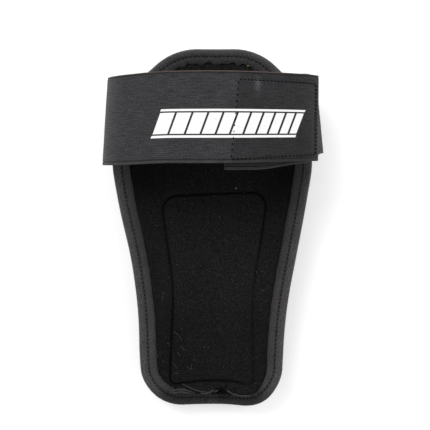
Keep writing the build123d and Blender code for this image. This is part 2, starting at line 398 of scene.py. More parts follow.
def inflate(sheet, held, pressure, reach):
    """Cloth simulation of a sheet with springy foam behind it, sewn down where held is true.
    The sheet swells upwards, or downwards where the pressure is negative, by less than reach."""
    rows, columns, _ = sheet.shape
    start = sheet.reshape(-1, 3)
    mesh = bpy.data.meshes.new("cloth_work")
    mesh.from_pydata((start * MM).tolist(), [], quads(rows, columns))
    if mesh.polygons[0].normal.z * pressure < 0:
        mesh.flip_normals()                               # the pressure acts along the normals
    work = bpy.data.objects.new("cloth_work", mesh)
    bpy.context.scene.collection.objects.link(work)
    sewn = work.vertex_groups.new(name="sewn")
    sewn.add(np.where(held.ravel())[0].tolist(), 1.0, "REPLACE")
    cloth = work.modifiers.new("cloth", "CLOTH")
    for setting, value in CLOTH.items():
        setattr(cloth.settings, setting, value)
    cloth.settings.uniform_pressure_force = abs(pressure)
    cloth.settings.effector_weights.gravity = 0
    cloth.collision_settings.use_collision = False
    for frame_number in range(1, CLOTH_FRAMES + 1):
        bpy.context.scene.frame_set(frame_number)
    solved = work.evaluated_get(bpy.context.evaluated_depsgraph_get()).data
    moved = np.empty(len(start) * 3)
    solved.vertices.foreach_get("co", moved)
    moved = moved.reshape(-1, 3) / MM - start
    bpy.data.objects.remove(work)
    bpy.context.scene.frame_set(1)
    distance = np.linalg.norm(moved, axis=1, keepdims=True)
    moved *= reach * np.tanh(distance / reach) / np.maximum(distance, 1e-6)
    return moved.reshape(rows, columns, 3)


# ---------------- materials
def grey(value, blue=1.0):
    return (value, value, value * blue)


class Surface:
    """A Principled material, and short calls that add its nodes."""

    def __init__(self, name, colour, roughness, specular=0.2, sheen=0.0, sheen_roughness=0.5):
        self.material = bpy.data.materials.new(name)
        self.material.use_nodes = True
        self.tree = self.material.node_tree
        self.main = self.tree.nodes["Principled BSDF"]
        self.fill(self.main, {"Base Color": colour, "Roughness": roughness, "Specular IOR Level": specular,
                              "Sheen Weight": sheen, "Sheen Roughness": sheen_roughness})

    def fill(self, node, inputs):
        """Set each input to a number or colour, or link it to another node's output."""
        for key, value in inputs.items():
            socket = node.inputs[key]
            if isinstance(value, bpy.types.NodeSocket):
                self.tree.links.new(value, socket)
            elif socket.type == "RGBA":
                socket.default_value = (*value, 1)
            else:
                socket.default_value = value

    def node(self, kind, inputs, **settings):
        node = self.tree.nodes.new("ShaderNode" + kind)
        for key, value in settings.items():
            setattr(node, key, value)
        self.fill(node, inputs)
        return node

    def place(self, source="Object", stretch=1.0):
        where = self.node("TexCoord", {}).outputs[source]
        return self.node("Mapping", {"Vector": where, "Scale": (stretch, 1, 1)}).outputs["Vector"]

    def mark(self, name):
        return self.node("Attribute", {}, attribute_name=name).outputs["Fac"]

    def noise(self, place, scale, detail=3.0, rough=0.55):
        inputs = {"Vector": place, "Scale": scale, "Detail": detail, "Roughness": rough}
        return self.node("TexNoise", inputs).outputs["Fac"]

    def wave(self, place, scale, direction="X", distortion=0.0):
        inputs = {"Vector": place, "Scale": scale, "Distortion": distortion, "Detail": 1.0}
        return self.node("TexWave", inputs, bands_direction=direction).outputs["Fac"]

    def ramp(self, value, *stops):
        """Colours between stops, each a place and a colour."""
        node = self.node("ValToRGB", {"Fac": value})
        while len(node.color_ramp.elements) < len(stops):
            node.color_ramp.elements.new(0.5)
        for element, (place, colour) in zip(node.color_ramp.elements, stops):
            element.position = place
            element.color = (*colour, 1)
        return node.outputs["Color"]

    def add(self, one, other):
        return self.node("Math", {0: one, 1: other}, operation="ADD").outputs["Value"]

    def times(self, one, other):
        return self.node("Math", {0: one, 1: other}, operation="MULTIPLY").outputs["Value"]

    def tint(self, colour, *factors):
        """Colour times grey factors."""
        for factor in factors:
            inputs = {"Factor": 1.0, 6: colour, 7: factor}
            colour = self.node("Mix", inputs, data_type="RGBA", blend_type="MULTIPLY").outputs[2]
        return colour

    def mixed(self, factor, under, over):
        """under where factor is 0, over where it is 1."""
        return self.node("Mix", {"Factor": factor, 6: under, 7: over}, data_type="RGBA").outputs[2]

    def finish(self, colour, height=None, strength=0.4, depth=0.25):
        """Link the colour, and a bump from the height, depth in millimetres."""
        self.fill(self.main, {"Base Color": colour})
        if height is not None:
            inputs = {"Strength": strength, "Distance": depth * MM, "Height": height}
            self.fill(self.main, {"Normal": self.node("Bump", inputs).outputs["Normal"]})
        return self.material


RIB_WAVE = 1 / (2 * RIB_PITCH * MM)        # wave scales that give the elastic's ribs and picks
PICK_WAVE = 1 / (2 * 0.9 * MM)


def elastic_material():
    """Ribbed woven elastic: charcoal yarn with paler picks, and a painted warm highlight along its rims."""
    weave = Surface("elastic_weave", grey(0.04), 0.72, 0.2, 0.08)
    cloth = weave.place("UV")
    speckle = weave.noise(cloth, 1050, 3, 0.65)
    streaks = weave.noise(weave.place("UV", 0.11), 1150, 2)
    yarn = weave.ramp(speckle, (0.33, grey(0.018, 1.1)), (0.5, grey(0.0335, 1.08)), (0.67, grey(0.057, 1.08)))
    lines = weave.ramp(streaks, (0.33, grey(0.64)), (0.5, grey(0.98)), (0.68, grey(1.26)))
    cloudy = weave.ramp(weave.noise(cloth, 55, 2), (0.3, grey(0.9)), (0.7, grey(1.08)))
    # A painted warm highlight where the strap's rims and cut end catch the light.
    rim_highlight = weave.ramp(speckle, (0.3, (0.06, 0.038, 0.033)), (0.7, (0.14, 0.096, 0.084)))
    charcoal = weave.tint(yarn, lines, cloudy, weave.mark("tone"))
    height = weave.add(weave.times(weave.wave(cloth, PICK_WAVE, "X", 0.6), 0.4), streaks)
    height = weave.add(weave.times(weave.wave(cloth, RIB_WAVE, "Y", 0.25), 0.5), height)
    height = weave.add(weave.times(speckle, 0.5), height)
    return weave.finish(weave.mixed(weave.mark("rim"), charcoal, rim_highlight), height, 0.55)


def tape_material():
    knit = Surface("binding_knit", grey(0.045), 0.8, 0.2, 0.15)
    cloth = knit.place("UV")
    fuzz = knit.noise(cloth, 900, 4)
    yarn = knit.ramp(fuzz, (0.3, (0.019, 0.018, 0.019)), (0.7, (0.082, 0.077, 0.077)))
    cloudy = knit.ramp(knit.noise(cloth, 90, 3), (0.3, grey(0.85)), (0.7, grey(1.12)))
    height = knit.add(knit.times(knit.wave(cloth, 520, "DIAGONAL", 1.5), 0.5), fuzz)
    return knit.finish(knit.tint(yarn, cloudy, knit.mark("tone")), height, 0.55, 0.3)


def lining_material():
    """Black knit with a short nap: fine grain, pale fibre ends here and there."""
    knit = Surface("brushed_lining", grey(0.01), 0.95, 0.06, 0.03, 0.35)
    place = knit.place()
    nap = knit.noise(place, 820, 4, 0.7)
    fuzz = knit.noise(place, 2100, 3, 0.6)
    fibre = knit.ramp(nap, (0.34, grey(0.0038)), (0.66, grey(0.0158)))
    ends = knit.ramp(fuzz, (0.6, grey(1.0)), (0.72, grey(2.4)))
    motes = knit.ramp(knit.noise(place, 1250, 1), (0.64, grey(0.95)), (0.72, (3.2, 3.1, 2.8)))
    cloudy = knit.ramp(knit.noise(place, 24, 3), (0.28, grey(0.86)), (0.72, grey(1.14)))
    knit.fill(knit.main, {"Roughness": knit.ramp(fuzz, (0.2, grey(0.85)), (0.8, grey(1.0)))})
    black = knit.tint(fibre, knit.tint(ends, motes), cloudy, knit.mark("tone"))
    return knit.finish(black, knit.add(fuzz, nap))


def cover_material():
    cloth = Surface("cover_cloth", grey(0.022), 0.62, 0.3, 0.08)
    place = cloth.place()
    fuzz = cloth.noise(place, 900, 3)
    yarn = cloth.ramp(fuzz, (0.3, grey(0.016, 1.05)), (0.7, grey(0.03, 1.05)))
    weave = cloth.times(cloth.wave(place, 620, "X", 0.4), cloth.wave(place, 620, "Y", 0.4))
    return cloth.finish(yarn, cloth.add(weave, cloth.times(fuzz, 0.4)))


def pile_material(name, value, scale, strength):
    pile = Surface(name, grey(value), 0.85, 0.15, 0.1)
    place = pile.place()
    fuzz = pile.noise(place, 1500, 4)
    cells = pile.node("TexVoronoi", {"Vector": place, "Scale": scale}).outputs["Distance"]
    shade = pile.ramp(fuzz, (0.3, grey(value * 0.7)), (0.7, grey(value * 1.4)))
    return pile.finish(shade, pile.add(cells, fuzz), strength, 0.4)


def thread_material(name, dark, light):
    thread = Surface(name, grey(dark), 0.7, 0.1)
    twist = thread.wave(thread.place(), 1500, "DIAGONAL", 0.5)
    return thread.finish(thread.ramp(twist, (0.2, grey(dark)), (0.8, grey(light))), twist, 0.4, 0.08)


def print_material():
    """White rubbery ink, thin over the elastic's ribs and cracked a little."""
    ink = Surface("white_ink", grey(0.8), 0.5, 0.35)
    cloth = ink.place("UV")
    worn = ink.add(ink.times(ink.wave(cloth, RIB_WAVE, "Y", 0.3), 0.18), ink.noise(cloth, 700, 4, 0.7))
    white = ink.ramp(worn, (0.30, grey(0.5)), (0.42, grey(0.86)), (0.7, grey(0.95)))
    return ink.finish(white, worn, 0.25, 0.12)


def plate_material():
    sheet = Surface("moulded_plate", grey(0.03), 0.45, 0.4)
    grain = sheet.noise(sheet.place(), 1200, 3)
    return sheet.finish(sheet.ramp(grain, (0.3, grey(0.024)), (0.7, grey(0.036))), grain, 0.3, 0.1)


def lint_material(name, colour):
    lint = Surface(name, colour, 0.8, 0.2)
    dim = tuple(part * 0.7 for part in colour)
    return lint.finish(lint.ramp(lint.noise(lint.place(), 2500, 2), (0.3, dim), (0.7, colour)))


elastic = elastic_material()
tape = tape_material()
lining_cloth = lining_material()
cover_cloth = cover_material()
hook_face = pile_material("hook_face", 0.02, 900, 0.7)
loop_face = pile_material("loop_face", 0.016, 700, 0.6)
# Both threads are near black: black thread, darkened further as painted shade of the holes the stitches sink
# into.
seam_thread = thread_material("seam_thread", 0.003, 0.009)
dark_thread = thread_material("dark_thread", 0.0015, 0.005)
white_ink = print_material()
plate = plate_material()


# ---------------- the lined pad
PAD_INSET = 1.7
PAD_GRID, PAD_CLOTH_GRID = (400, 222), (134, 76)       # rows and columns of the mesh, and of its simulation
PUFF = 7.0                     # pressure of the foam behind the cloth
LINING_SWELL = 1.3             # the most that the lining and the cover swell
COVER_SWELL = 1.2
GROOVE_HOLD, TAPE_HOLD = 1.6, 11.5                     # the lining is held this near the groove and the edge
panel_line = rounded(PANEL, PANEL_RADII, 0.5)


def panel_distance(x, y):
    """Distance from the panel's groove, negative inside it.  The groove's lower run is arched,
    its upper run slants a little, and its right run leans in towards the wrist."""
    px = x - 0.9 + 3.0 * smooth(x, 5, 30) * smooth(-y, -10, 100)
    py = y - 0.045 * px * smooth(y, -60, 10) - 2.4 * (1 - (px / 32) ** 2).clip(0) * smooth(-y, 80, 110)
    inside = np.zeros(x.shape, bool)
    coarse = panel_line[::4]
    for a, b in zip(coarse, np.roll(coarse, -1, axis=0)):
        if a[1] != b[1]:                                  # a ray to the right crosses this edge
            crosses = (a[1] > py) != (b[1] > py)
            inside ^= crosses & (px < (b[0] - a[0]) * (py - a[1]) / (b[1] - a[1]) + a[0])
    return np.where(inside, -1, 1) * nearest(px, py, panel_line[::2])


def spaced(start, end, count, crowded, width):
    """Places from start to end, closer together near the crowded ones."""
    fine = np.linspace(start, end, 4000)
    density = 1 + 1.6 * sum(bump(fine, place, width) for place in crowded)
    total = np.concatenate([[0], np.cumsum((density[1:] + density[:-1]) / 2)])
    return np.interp(np.linspace(0, total[-1], count), total, fine)


def plan_grid(y, share, inset):
    """A grid over the outline, from places along Y and shares of the half width."""
    x = half_width(y, inset)[:, None] * share[None, :]
    return x, np.repeat(y[:, None], len(share), axis=1)


HOLE = (6.8, -120.6)           # where the lining is frayed at the wrist end


def edge_gap(x, y):
    """Distance inside the bound edge, near enough for shading and puckers."""
    return nearest(x, y, edge_line[::6])


def short_hem(x):
    """1 along the wrist end where the tape's inner fold is trimmed short."""
    return smooth(x, -21, -8) * smooth(-x, -46, -27)


def lining_grid(rows, columns):
    """Places over the lining, closer together at the groove and at the rim."""
    end = HALF_LENGTH - PAD_INSET
    y = spaced(-end, end, rows, (-end, PANEL[-1][1], PANEL[0][1], end), 5.0)
    return plan_grid(y, spaced(-1, 1, columns, (-0.58, 0.58), 0.09), PAD_INSET)


def swollen(x, y, depth, held, pressure, reach, shape):
    """How far the foam pushes the cloth out between where it is held, on a finer grid."""
    return resample(inflate(np.dstack([x, y, drop(x, depth)]), held, pressure, reach), *shape)


def swollen_lining():
    """The lining swells between its groove and the binding."""
    x, y = lining_grid(*PAD_CLOTH_GRID)
    held = (np.abs(panel_distance(x, y)) < GROOVE_HOLD) | (edge_gap(x, y) < TAPE_HOLD)
    return swollen(x, y, 0, held, PUFF, LINING_SWELL, PAD_GRID)


def make_lined_pad():
    """The foam body with its lining: a raised panel inside a stitched groove."""
    x, y = lining_grid(*PAD_GRID)
    gap = panel_distance(x, y)
    faint = 1 - 0.5 * smooth(x, 12, 30) * smooth(-y, 0, 50)         # the groove is shallow at its low right
    groove = 1.15 * faint * bump(gap, 0, 0.75) + 0.22 * bump(gap, 0, 3.0)
    crown = 0.6 * smooth(-gap, 1, 14) + 0.30 * bump(gap, 4.5, 3.0)
    lens = 1.7 * bump(x, -1.5, 25) * bump(y, -119.4 - 0.003 * x ** 2, 3.2)
    unevenness = 0.22 * wander(x, y, [46, 31, 22], 3) + 0.05 * wander(x, y, [9, 6.5], 4)
    wrist = smooth(-y, 108, 122)
    gathers = 0.32 * wrist * waves(x + 0.25 * y, [6.2, 4.4, 9.1], 15)
    hole = bump(x, HOLE[0], 4.4) * bump(y, HOLE[1], 2.4)
    tucked = 0.9 * smooth(edge_gap(x, y), 13.5, 9.5) * (1 - wrist * short_hem(x))
    height = crown + lens + unevenness + gathers - groove - tucked - 1.8 * hole
    top = np.dstack([x, y, drop(x, 0) + height]) + swollen_lining()
    # Painted shade in the tone: darker in the groove and in the strap's shadow. It is also darker towards the
    # wrist end and the sides, lighter over the lens bulge, and darker at the frayed spot.
    strap_shadow = smooth(y, 2, 40) * smooth(-y, -112, -98)
    tone = 1 - 0.72 * faint * bump(gap, 0, 0.85) - 0.42 * strap_shadow - 0.16 * smooth(-y, 40, 80)
    tone = tone + 0.14 * lens - 0.75 * hole - 0.16 * smooth(np.abs(x), 28, 50)

    return backed("lined_pad", top, COVER_INSIDE - 0.05, lining_cloth, tone=tone)


lined_pad = make_lined_pad()
settle(lined_pad, "lining_knit", "lining", "comfort_pad", "base_foam")


# ---------------- the ribbed cover
COVER_GRID, COVER_CLOTH_GRID = (262, 184), (135, 90)
COVER_INSET = 9.5
RIB_ENDS = (-116.0, 42.0)
RIB_HALF_WIDTHS = (36.0, 56.0)
RIB_SHARES = [(-1.0, -0.73), (-0.63, -0.37), (-0.27, 0.27), (0.37, 0.63), (0.73, 1.0)]
RIB_SLACK = 0.8                # the cover is this much wider than each rib's foam on every side
RIB_SHOULDER = 4.5


def rib_field(y):
    """Half the width that the ribs take up at y."""
    t = (y - RIB_ENDS[0]) / (RIB_ENDS[1] - RIB_ENDS[0])
    return RIB_HALF_WIDTHS[0] + (RIB_HALF_WIDTHS[1] - RIB_HALF_WIDTHS[0]) * t


def rib_height(x, y):
    """How far the impact ribs stand out of the cover, with soft shoulders."""
    half = rib_field(y)
    edge = half_width(y, 12.0) - np.abs(x)
    ends = np.minimum(y - RIB_ENDS[0] + RIB_SLACK, RIB_ENDS[1] + RIB_SLACK - y)
    total = np.zeros_like(x)
    for left, right in RIB_SHARES:
        near = np.minimum.reduce([x - left * half + RIB_SLACK, right * half + RIB_SLACK - x, edge, ends])
        total = np.maximum(total, np.sqrt(1 - (1 - np.clip(near / RIB_SHOULDER, 0, 1)) ** 2))
    return total


def cover_surface(rows, columns):
    """Places over the ribs and valleys, how much of a rib is there, and the cover's depth."""
    end = HALF_LENGTH - COVER_INSET
    x, y = plan_grid(np.linspace(-end, end, rows), np.linspace(-1, 1, columns), COVER_INSET)
    rib = rib_height(x, y)
    depth = COVER_OUTSIDE + rib * (RIB_DEPTH - COVER_OUTSIDE) + 0.10 * wander(x, y, [17, 11, 7], 8) * rib
    return x, y, rib, depth


def make_ribbed_cover():
    """The cover is cut a little slack over the ribs, sewn in their valleys, and swells between."""
    x, y, rib, depth = cover_surface(*COVER_CLOTH_GRID)
    swell = swollen(x, y, depth, rib < 0.05, -PUFF, COVER_SWELL, COVER_GRID)
    x, y, rib, depth = cover_surface(*COVER_GRID)
    outer = np.dstack([x, y, drop(x, depth)]) + swell * smooth(rib, 0, 0.3)[:, :, None]
    outer[:, :, 2] = np.maximum(outer[:, :, 2], 0.0)
    return slab("ribbed_cover", outer, np.dstack([x, y, drop(x, COVER_INSIDE)]), cover_cloth)


ribbed_cover = make_ribbed_cover()
settle(ribbed_cover, "cover_cloth", "outer_cover", *[f"rib_foam_{i}" for i in range(1, 6)])

shell_slots = frame["nodes"]["shell_plate"].data.materials
shell_slots.clear()
shell_slots.append(plate)


# ---------------- the edge binding
LAP_X = -5.6                   # where the tape's ends lap, at the wrist end
# The tape's closed section round the pad's edge: distance inside the edge, and depth below the skin side.
TAPE_SECTION = [
    (11.0, -0.05), (11.1, -0.75), (10.4, -1.15), (8.6, -1.65), (6.9, -1.35), (5.9, -0.55), (4.9, -1.45),
    (3.1, -2.15), (1.3, -1.55), (0.3, 0.6), (0.0, 3.4), (0.3, 6.2), (1.4, 7.9), (3.2, 8.4),
    (5.0, 8.2), (5.9, 7.7), (6.8, 8.2), (8.6, 8.4), (10.5, 8.1), (11.1, 7.7), (11.0, 7.1),
    (6.0, 7.05), (2.2, 6.8), (1.5, 3.5), (2.2, 0.2), (6.0, -0.02),
]


def near_end(y, far, near):
    """0 further than far from the end of the pad at +Y, 1 nearer than near."""
    return smooth(y, HALF_LENGTH - far, HALF_LENGTH - near)


def puckered(inset, depth, s, wrist, elbow):
    """The tape rises between its stitches, and rolls, most of all at the pad's ends."""
    skin = smooth(-depth, -3.0, 0.0)                      # 1 on the skin side
    rise = np.abs(np.sin(np.pi * s / STITCH_PITCH)) - 0.5
    depth = depth - (0.22 + 0.3 * wrist) * rise * bump(inset, SEAM_INSET, 2.4) * skin
    roll = 0.16 * waves(s, [23, 14.5, 9.2], 2) + 0.34 * wrist * waves(s + 0.8 * inset, [7.1, 4.3, 3.3], 5)
    roll += 0.22 * elbow * waves(s, [8.3, 5.9], 6)
    return depth - roll * smooth(inset, 0.2, 2.0) * skin * 1.3, skin


def tape_shape(section, length, line):
    """Distance and depth along the edge, with puckers, gathers and the tape's lapped joint."""
    inset = np.repeat(section[None, :, 0], len(length), axis=0)
    depth = np.repeat(section[None, :, 1], len(length), axis=0)
    x, y, s = line[:, 0:1], line[:, 1:2], length[:, None]
    wrist, elbow = near_end(-y, 9, 1), near_end(y, 12, 2)
    free = smooth(inset, 0.2, 2.0)
    depth, skin = puckered(inset, depth, s, wrist, elbow)
    hem = smooth(inset, 8.0, 11.0) * skin
    ragged = 1.2 * elbow * (waves(s, [15.5, 9.0], 11) - 0.35) + 0.9 * wrist * waves(s, [12, 6.5], 12)
    inset += (ragged + 0.15 * waves(s, [31, 12], 13) - (1.0 + 3.0 * short_hem(x)) * wrist) * hem
    depth += 0.35 * hem * waves(s, [6.4, 9.7], 14) * (wrist + elbow)
    at_wrist = y < -HALF_LENGTH + 25
    lap = smooth(x - 0.25 * inset, LAP_X - 0.8, LAP_X) * smooth(-x, -12.0, 2.0) * at_wrist
    depth -= 0.9 * lap * free * skin
    torn = bump(x, HOLE[0], 3.4) * at_wrist
    right_corner = bump(x, 39.0, 9.0) * smooth(-y, 92, 118)
    inset -= (1.2 * torn + 2.7 * right_corner) * hem
    crumpled = bump(x, -25.0, 8.0) * at_wrist * hem
    inset += 1.8 * crumpled
    depth -= 0.55 * crumpled * np.cos(2 * np.pi * (inset + 0.12 * x) / 1.9)
    return inset, depth


def tape_tone(x, y, inset, skin, s):
    """Dark seam and inner band, and a painted shadow line along the inner edge; at the wrist end, where the
    ends lap, grime and painted shade, painted shadow in the stitch holes, and a tear.
    """
    inner_band = smooth(inset, SEAM_INSET, SEAM_INSET + 1.2) * skin
    wrist = near_end(-y, 17, 8)
    middle = wrist * smooth(44 - np.abs(x), 0, 14)
    # The bump at an inset of 11 paints a shadow line along the tape's inner edge, where it meets the lining.
    tone = 1.09 - 0.4 * bump(inset, SEAM_INSET, 0.85) * skin - 0.3 * bump(inset, 11, 0.6) - 0.28 * inner_band
    # Darker at the wrist end, most in its middle: dirt, and painted shade where the tape turns down and
    # puckers. The wavy patches are dirt and painted shade in the gaps between the puckers.
    grime_and_pucker_shade = smooth(waves(s + 1.5 * inset, [4.1, 6.3, 2.9], 16), -0.1, 0.7)
    tone = tone * (1 - 0.38 * wrist - 0.32 * middle) * (1 - 0.75 * middle * smooth(inset, 2.6, 5.0) * grime_and_pucker_shade)
    joint = wrist * bump(x - 0.25 * inset, LAP_X, 0.7)
    clean = wrist * smooth(x, -4.8, -3.8) * smooth(-x, -3.6, -2.4) * bump(inset, 2.8, 1.9)
    tone = tone * (1 - 0.6 * joint) * (1 + 0.7 * clean)
    # Painted shadow in each stitch hole of the seam at the wrist end.
    stitch_hole_shadow = wrist * bump(inset, SEAM_INSET, 1.2) * np.cos(math.pi * s / STITCH_PITCH) ** 4 * skin
    torn = wrist * bump(x, HOLE[0] + 1.5, 6.5) * smooth(inset, 2.6, 5.4) * skin
    tone = tone * (1 - 0.95 * stitch_hole_shadow) * (1 - 0.7 * torn)
    shaded = smooth(y, -60, -10) * inner_band + 0.7 * near_end(y, 26, 8)
    return tone * (1 - 0.18 * shaded)


def make_binding():
    section = closed_curve(TAPE_SECTION, 3)
    inset, depth = tape_shape(section, edge_length, edge_line)
    x = edge_line[:, 0:1] + edge_inward[:, 0:1] * inset
    y = edge_line[:, 1:2] + edge_inward[:, 1:2] * inset
    points = np.dstack([x, y, drop(x, depth)]).reshape(-1, 3)
    uv = np.dstack(np.broadcast_arrays(edge_length[:, None], distances(section)[None, :])).reshape(-1, 2)
    tone = tape_tone(x, y, inset, depth < 2.0, edge_length[:, None])
    return add_mesh("edge_tape", points, quads(*x.shape, 0, True, True), tape, uv, tone=tone)


def seam_line(inset, depth):
    """Points of the binding's seam on one face, and the way from there to the trough's axis."""
    line = edge_line + edge_inward * inset
    points = np.column_stack([line, drop(line[:, 0], depth)])
    lean = np.column_stack([-line[:, 0], np.zeros(len(line)), AXIS_Z - points[:, 2]])
    lean /= np.linalg.norm(lean, axis=1)[:, None]
    return points[::2], lean[::2]


settle(make_binding(), "binding_tape", "edge_binding")
for face, depth, side, seed in (("needle", -0.72, 1, 21), ("bobbin", 7.85, -1, 22)):
    line, up = seam_line(SEAM_INSET, depth)
    row = stitches(f"binding_{face}_stitches", [stitch_row(line, side * up, True, seed=seed)], seam_thread)
    settle(row, "thread", f"binding_{face}_thread")


# ---------------- the strap loop
SIDE_X = LOOP_HALF_WIDTH - ARCH_SIDE_RADIUS
RISE = ARCH_TOP - ARCH_SPRING
CROWN_RADIUS = (SIDE_X ** 2 + RISE ** 2 - ARCH_SIDE_RADIUS ** 2) / (2 * (RISE - ARCH_SIDE_RADIUS))
CROWN = (0.0, ARCH_TOP - CROWN_RADIUS)
LEFT_SIDE, RIGHT_SIDE = (-SIDE_X, ARCH_SPRING), (SIDE_X, ARCH_SPRING)
FRONT_SEAM_X = -52.0           # sets the angle where the first stretch ends and the second begins
STRAP_STEP = 1.2               # between points along the strap


def turn_centre(radius):
    """Centre of a fold that touches the loop's side and its run round the back."""
    x = LOOP_HALF_WIDTH - radius
    return x, AXIS_Z - math.sqrt((BACK_RADIUS - radius) ** 2 - x ** 2)


def angle_of(x, z):
    return math.degrees(math.atan2(z, x))


left_x, left_z = turn_centre(LEFT_TURN_RADIUS)
right_x, right_z = turn_centre(RIGHT_TURN_RADIUS)
crown_angle = angle_of(SIDE_X, ARCH_SPRING - CROWN[1])
front_seam_angle = math.degrees(math.acos(FRONT_SEAM_X / CROWN_RADIUS))
left_back_angle = 360 + angle_of(-left_x, left_z - AXIS_Z)
right_back_angle = 360 + angle_of(right_x, right_z - AXIS_Z)
tab_side_radius = ARCH_SIDE_RADIUS - TAB_DEPTH
tab_crown_radius = CROWN_RADIUS - TAB_DEPTH
tab_lean = math.degrees(
    math.acos((tab_side_radius - RIGHT_TURN_RADIUS) / math.hypot(right_x - SIDE_X, ARCH_SPRING - right_z))
    - math.atan2(ARCH_SPRING - right_z, right_x - SIDE_X))
tab_out = np.array([math.cos(math.radians(tab_lean)), math.sin(math.radians(tab_lean))])
tab_end_angle = math.degrees(math.acos(TAB_END_X / tab_crown_radius))
strap_end_angle = tab_lean + 7.5


def arc(centre, radius, start, end, spacing=STRAP_STEP):
    """Points and outward directions along an arc, as rows of x, z, out x, out z."""
    count = max(3, int(abs(math.radians(end - start)) * radius / spacing) + 1)
    angle = np.radians(np.linspace(start, end, count))
    out = np.column_stack([np.cos(angle), np.sin(angle)])
    return np.hstack([np.array(centre) + radius * out, out])


def run(start, end, outward):
    count = max(2, int(math.dist(start, end) / STRAP_STEP) + 1)
    t = np.linspace(0, 1, count)[:, None]
    points = np.array(start) * (1 - t) + np.array(end) * t
    return np.hstack([points, np.repeat(np.array([outward], float), count, axis=0)])


def drawn_in(x, y, slant, share):
    """The right fold bulges, and its wrist side is pulled in."""
    fold = smooth(x, 62, 75) * share
    return x + (2.9 * slant - 0.9) * fold, y + 3.3 * (1 + slant) * fold


def skew_front(x, y, z):
    """The strap went on a little askew: its left fold is wider at the wrist side."""
    left, right = smooth(-x, 25, 74), smooth(x, 5, 74)
    slant = (STRAP_MIDDLE - y) / 30
    sunk = 0.12 + 1.12 * slant
    turn = smooth(-z, -40, -34)                           # 1 where it goes round the pad's outer face
    x, y = x + (1.25 - 2.1 * slant) * left, y - 1.7 * left + sunk * right * (1 - turn)
    return drawn_in(x, y, slant, turn) + (z,)


def skew_tab(x, y, z):
    """The tab swings down towards its free end."""
    slant = (STRAP_MIDDLE - y) / 30
    swing = 4.4 * smooth(-x, -66, -27) * smooth(z, 50, 62)
    x, y = drawn_in(x, y, slant, 1.0)
    return x, y - swing, z


class Path:
    """A stretch of the strap seen along Y, from its parts, and how the strap strays from it."""

    def __init__(self, skew, *parts):
        rows = np.vstack(parts)
        steps = np.linalg.norm(np.diff(rows[:, :2], axis=0), axis=1)
        self.rows = rows[np.concatenate([[True], steps > 1e-4])]
        self.length = distances(self.rows[:, :2])
        self.end = self.length[-1]
        self.skew = skew

    def read(self, length):
        """x, z, out x and out z at lengths along the path."""
        return [np.interp(length, self.length, column) for column in self.rows.T]

    def place(self, length, width, depth):
        """Points that far along and across the strap, and that deep under its outer face."""
        x, z, out_x, out_z = self.read(length)
        return np.stack(self.skew(x - out_x * depth, width, z - out_z * depth), axis=-1)

    def row(self, start, end, depth, pitch=STITCH_PITCH, seed=1, side=1):
        """A straight row of stitches between two places given as length and width.
        side is 1 on the outer face and -1 on the inner one."""
        t = np.linspace(0, 1, 60)
        length, width = (a + (b - a) * t for a, b in zip(start, end))
        _, _, out_x, out_z = self.read(length)
        up = side * np.column_stack([out_x, np.zeros(60), out_z])
        return stitch_row(self.place(length, width, depth), up, pitch=pitch, seed=seed)

    def box(self, corners, depth, seed, pitches=(STITCH_PITCH,) * 4, side=1):
        sides = enumerate(zip(corners, corners[1:] + corners[:1], pitches))
        return [self.row(a, b, depth, side=side, pitch=pitch, seed=seed + k) for k, (a, b, pitch) in sides]


def rectangle(near, far, inset):
    """Corners of a box sewn that far inside the strap's rims."""
    low_edge, high_edge = STRAP_LOW + inset, STRAP_HIGH - inset
    return [(near, low_edge), (far, low_edge), (far, high_edge), (near, high_edge)]


back = Path(
    skew_front,
    arc(LEFT_SIDE, ARCH_SIDE_RADIUS, front_seam_angle, 180),
    run((-LOOP_HALF_WIDTH, ARCH_SPRING), (-LOOP_HALF_WIDTH, left_z), (-1, 0)),
    arc((-left_x, left_z), LEFT_TURN_RADIUS, 180, left_back_angle),
    arc((0, AXIS_Z), BACK_RADIUS, left_back_angle, right_back_angle, 2.0),
)
front = Path(
    skew_front,
    arc(LEFT_SIDE, ARCH_SIDE_RADIUS, front_seam_angle, 180 - crown_angle),
    arc(CROWN, CROWN_RADIUS, 180 - crown_angle, crown_angle),
    arc(RIGHT_SIDE, ARCH_SIDE_RADIUS, crown_angle, strap_end_angle),
)
tab = Path(
    skew_tab,
    arc((right_x, right_z), RIGHT_TURN_RADIUS, right_back_angle, 360),
    arc((right_x, right_z), RIGHT_TURN_RADIUS, 0, tab_lean),
    run((right_x, right_z) + RIGHT_TURN_RADIUS * tab_out, RIGHT_SIDE + tab_side_radius * tab_out, tab_out),
    arc(RIGHT_SIDE, tab_side_radius, tab_lean, crown_angle),
    arc(CROWN, tab_crown_radius, crown_angle, tab_end_angle),
)


def front_at(x):
    """Length along the front stretch where it reaches x."""
    return float(np.interp(x, front.rows[:, 0], front.length))


def back_at(x):
    """Length along the run round the pad's outer face where it reaches x."""
    below = back.rows[:, 1] < left_z - 1
    return float(np.interp(x, back.rows[below, 0], back.length[below]))


# Cloth turns between the two places, given as x and z, as it goes from one body to the next.
lift_z, peel_x, peel_z = HINGE["strap_lift"][2], HINGE["hook_end_peel"][0], HINGE["hook_end_peel"][2]
tab_z = HINGE["loop_tab_lift"][2]
LEFT_FOLD = ("pad", "front_flap", (-LOOP_HALF_WIDTH, lift_z - 6), (-LOOP_HALF_WIDTH, lift_z + 6))
PEEL_FOLD = ("front_flap", "hook_end", (peel_x - 5, peel_z), (peel_x + 3, peel_z))
TAB_FOLD = ("pad", "loop_tab", (LOOP_HALF_WIDTH, tab_z - 5), (LOOP_HALF_WIDTH, tab_z + 5))


def width_samples(start, end):
    """Close enough together for the woven ribs, and closer at the rims."""
    inner = np.arange(start + 0.9, end - 0.9, RIB_PITCH / 5)
    rim = np.array([0, 0.12, 0.35, 0.65])
    return np.concatenate([start + rim, inner, end - rim[::-1]])


